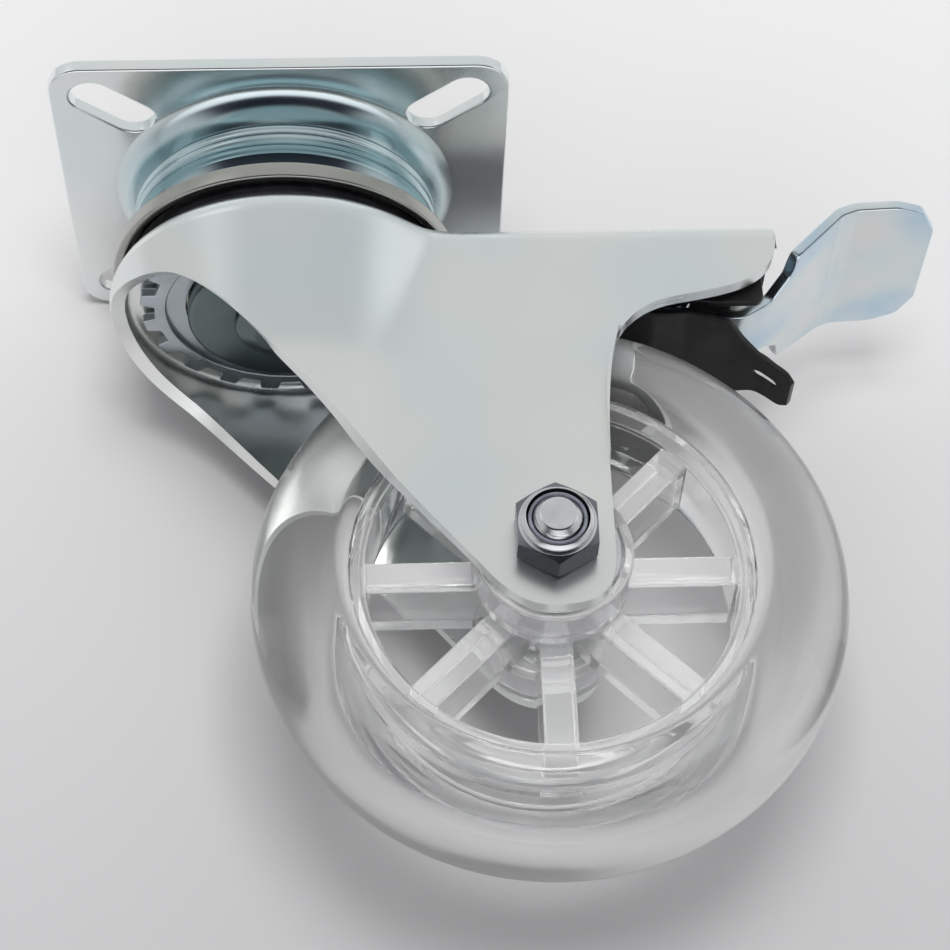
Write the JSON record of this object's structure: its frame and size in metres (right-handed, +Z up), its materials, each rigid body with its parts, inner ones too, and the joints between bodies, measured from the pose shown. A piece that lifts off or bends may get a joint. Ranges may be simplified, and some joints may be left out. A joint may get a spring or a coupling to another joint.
{
  "type": "swivel castor",
  "caption": "Swivel castor with a slotted top plate, pressed steel fork, clear spoked wheel on ball bearings and a total-lock brake pedal.",
  "frame": {"origin": "centre of the top plate's mounting face, on the swivel axis", "axes": "+Z up along the swivel axis, out of the mounting face; +X towards the trailing wheel and the pedal; Y along the wheel's axle"},
  "size_m": [0.1554, 0.07, 0.137],
  "materials": {
    "zinc_plate": "bright zinc plating with a faint blue-green passivation",
    "zinc_fork": "bright zinc plating, satin",
    "bright_steel": "bright plated or ground steel",
    "dark_zinc": "zinc plating, duller",
    "black_seal": "matt black moulding",
    "black_spring_steel": "semi-gloss black oxide",
    "nylon": "moulded nylon",
    "clear_tyre": "clear glossy polyurethane",
    "clear_hub": "clear moulded polycarbonate"
  },
  "bodies": {
    "plate": {"top_plate": "zinc_plate", "race_cap": "zinc_plate", "kingpin": "bright_steel", "lower_race_cup": "dark_zinc", "lock_ring": "dark_zinc"},
    "fork": {"fork": "zinc_fork", "dust_seal": "black_seal", "axle_bolt": "bright_steel", "axle_nut": "bright_steel", "nut_insert": "nylon", "axle_sleeve": "bright_steel", "near_washer": "bright_steel", "far_washer": "bright_steel", "near_bearing_inner_ring": "bright_steel", "far_bearing_inner_ring": "bright_steel", "brake_bracket": "black_spring_steel", "pedal_pin": "dark_zinc", "rocker_pin": "dark_zinc"},
    "wheel": {"tyre": "clear_tyre", "hub": "clear_hub", "near_bearing_outer_ring": "bright_steel", "near_bearing_inner_shield": "dark_zinc", "near_bearing_outer_shield": "dark_zinc", "far_bearing_outer_ring": "bright_steel", "far_bearing_inner_shield": "dark_zinc", "far_bearing_outer_shield": "dark_zinc"},
    "upper_balls": {"upper_ball_ring": "bright_steel"},
    "lower_balls": {"lower_ball_ring": "bright_steel"},
    "near_balls": {"near_bearing_balls": "bright_steel"},
    "far_balls": {"far_bearing_balls": "bright_steel"},
    "pedal": {"brake_pedal": "zinc_fork"},
    "leaf": {"brake_leaf": "black_spring_steel"}
  },
  "joints": [
    {"name": "swivel", "type": "hinge", "parent": "plate", "child": "fork", "pos_m": [0, 0, -0.025], "axis": [0, 0, 1], "continuous": true},
    {"name": "wheel_spin", "type": "hinge", "parent": "fork", "child": "wheel", "pos_m": [0.044, 0, -0.087], "axis": [0, 1, 0], "continuous": true},
    {"name": "pedal_press", "type": "hinge", "parent": "fork", "child": "pedal", "pos_m": [0.068, 0, -0.0324], "axis": [0, 1, 0], "range_deg": [0, 22]},
    {"name": "leaf_rock", "type": "hinge", "parent": "fork", "child": "leaf", "pos_m": [0.046, 0, -0.0318], "axis": [0, 1, 0], "range_deg": [0, 5.5]},
    {"name": "upper_balls_roll", "type": "hinge", "parent": "plate", "child": "upper_balls", "pos_m": [0, 0, -0.02225], "axis": [0, 0, 1], "continuous": true},
    {"name": "lower_balls_roll", "type": "hinge", "parent": "plate", "child": "lower_balls", "pos_m": [0, 0, -0.02875], "axis": [0, 0, 1], "continuous": true},
    {"name": "near_balls_roll", "type": "hinge", "parent": "fork", "child": "near_balls", "pos_m": [0.044, -0.0115, -0.087], "axis": [0, 1, 0], "continuous": true},
    {"name": "far_balls_roll", "type": "hinge", "parent": "fork", "child": "far_balls", "pos_m": [0.044, 0.0115, -0.087], "axis": [0, 1, 0], "continuous": true}
  ],
  "couplings": [
    {"joint": "leaf_rock", "follows": "pedal_press", "ratio": 0.25},
    {"joint": "upper_balls_roll", "follows": "swivel", "ratio": 0.5},
    {"joint": "lower_balls_roll", "follows": "swivel", "ratio": 0.5},
    {"joint": "near_balls_roll", "follows": "wheel_spin", "ratio": 0.6},
    {"joint": "far_balls_roll", "follows": "wheel_spin", "ratio": 0.6}
  ]
}
